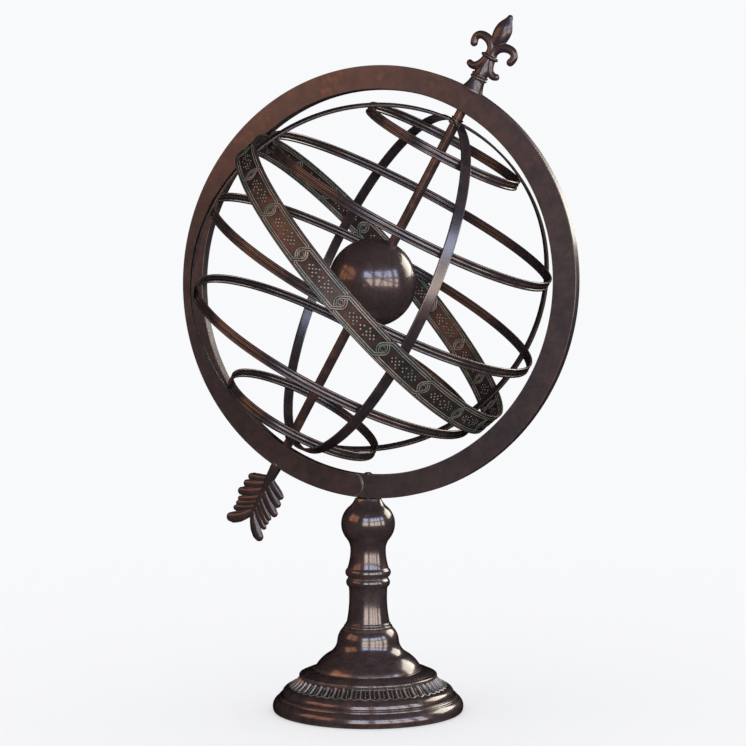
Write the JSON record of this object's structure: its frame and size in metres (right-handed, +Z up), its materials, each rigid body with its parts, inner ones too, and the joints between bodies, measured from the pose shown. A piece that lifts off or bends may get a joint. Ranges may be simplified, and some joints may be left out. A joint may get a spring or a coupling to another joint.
{
  "type": "armillary sphere",
  "caption": "Tabletop armillary sphere: a cage of hoops and a zodiac band turning on a tilted rod inside an upright ring, on a turned stand.",
  "frame": {"origin": "centre of the felt's underside, on the stem's axis, at the height of the table", "axes": "+Z up along the stem; the outer ring stands in the XZ plane, so Y is across the ring; the rod's upper end leans towards +X; the side with the ring's seam seen in the reference is -Y"},
  "size_m": [0.3799, 0.3248, 0.6041],
  "materials": {
    "bronze_ring": "dark oil-rubbed bronze patina with copper mottling, satin",
    "bronze_hoops": "dark bronze patina with rubbed edges, satin",
    "bronze_band": "dark bronze patina, verdigris in the recesses, rubbed relief",
    "bronze_rod": "dark bronze patina, satin",
    "bronze_ball": "dark bronze patina, polished",
    "bronze_stand": "dark bronze patina, polished, verdigris in the flutes",
    "bronze_cast": "dark bronze patina, rubbed highlights and verdigris recesses",
    "plain_steel": "zinc plated",
    "dark_steel": "blackened",
    "felt": "matt felt"
  },
  "bodies": {
    "stand": {"base_felt": "felt", "base_plate": "bronze_stand", "stem_bell": "bronze_stand", "stem_column": "bronze_stand", "stem_bulb": "bronze_stand", "stem_tie_rod": "plain_steel", "base_washer": "plain_steel", "base_nut": "plain_steel", "outer_ring": "bronze_ring", "ring_screw": "bronze_ring", "polar_rod": "bronze_rod", "centre_ball": "bronze_ball", "ball_grub_screw": "dark_steel", "finial_collar": "bronze_cast", "fleur_finial": "bronze_cast", "arrow_feathers": "bronze_cast", "upper_pole_clip": "dark_steel", "lower_pole_clip": "dark_steel"},
    "cage": {"solstice_colure": "bronze_hoops", "equinox_colure": "bronze_hoops", "arctic_ring": "bronze_hoops", "cancer_ring": "bronze_hoops", "equator_ring": "bronze_hoops", "capricorn_ring": "bronze_hoops", "antarctic_ring": "bronze_hoops", "ecliptic_band": "bronze_band", "upper_pole_bush": "bronze_hoops", "lower_pole_bush": "bronze_hoops"}
  },
  "joints": [
    {"name": "cage_spin", "type": "hinge", "parent": "stand", "child": "cage", "pos_m": [0.004, 0, 0.3778], "axis": [0.5, 0, 0.866], "continuous": true}
  ]
}
